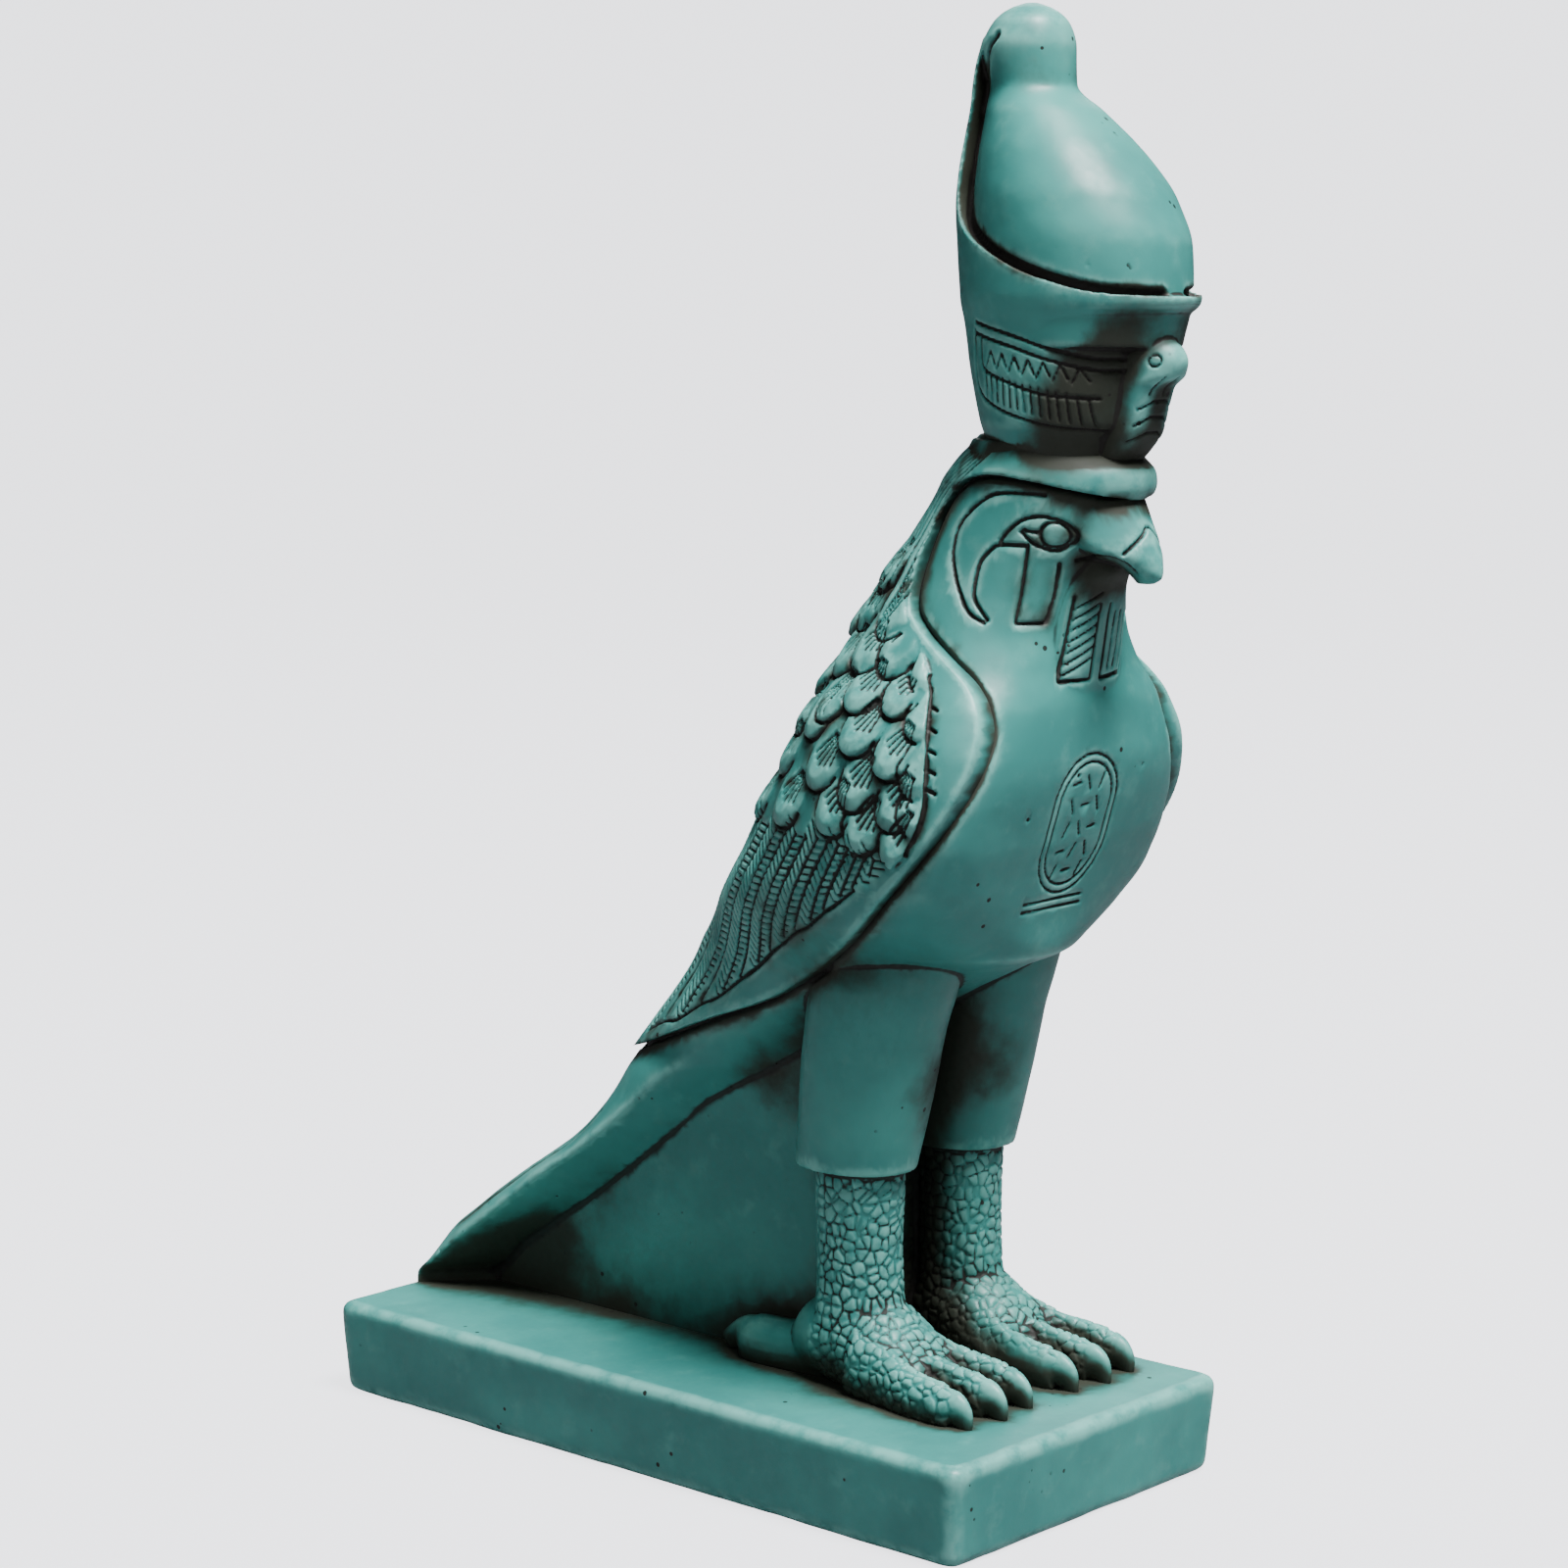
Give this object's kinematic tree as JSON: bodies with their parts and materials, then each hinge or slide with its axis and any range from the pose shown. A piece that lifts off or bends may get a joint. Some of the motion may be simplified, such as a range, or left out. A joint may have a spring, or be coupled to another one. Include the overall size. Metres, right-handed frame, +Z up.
{
  "type": "falcon deity statue",
  "caption": "Cast turquoise statue of a standing falcon god in the double crown, on an oblong plinth with a web under its tail.",
  "frame": {"origin": "middle of the plinth's flat underside, on the surface that the statue stands on", "axes": "+Z up, -Y the way the falcon looks, -X the falcon's right side"},
  "size_m": [0.0649, 0.1326, 0.2109],
  "materials": {
    "turquoise_composite": "satin cast stone and resin, turquoise, with a dark brown wash in its recesses"
  },
  "bodies": {
    "root": {"falcon_statue": "turquoise_composite"}
  },
  "joints": []
}
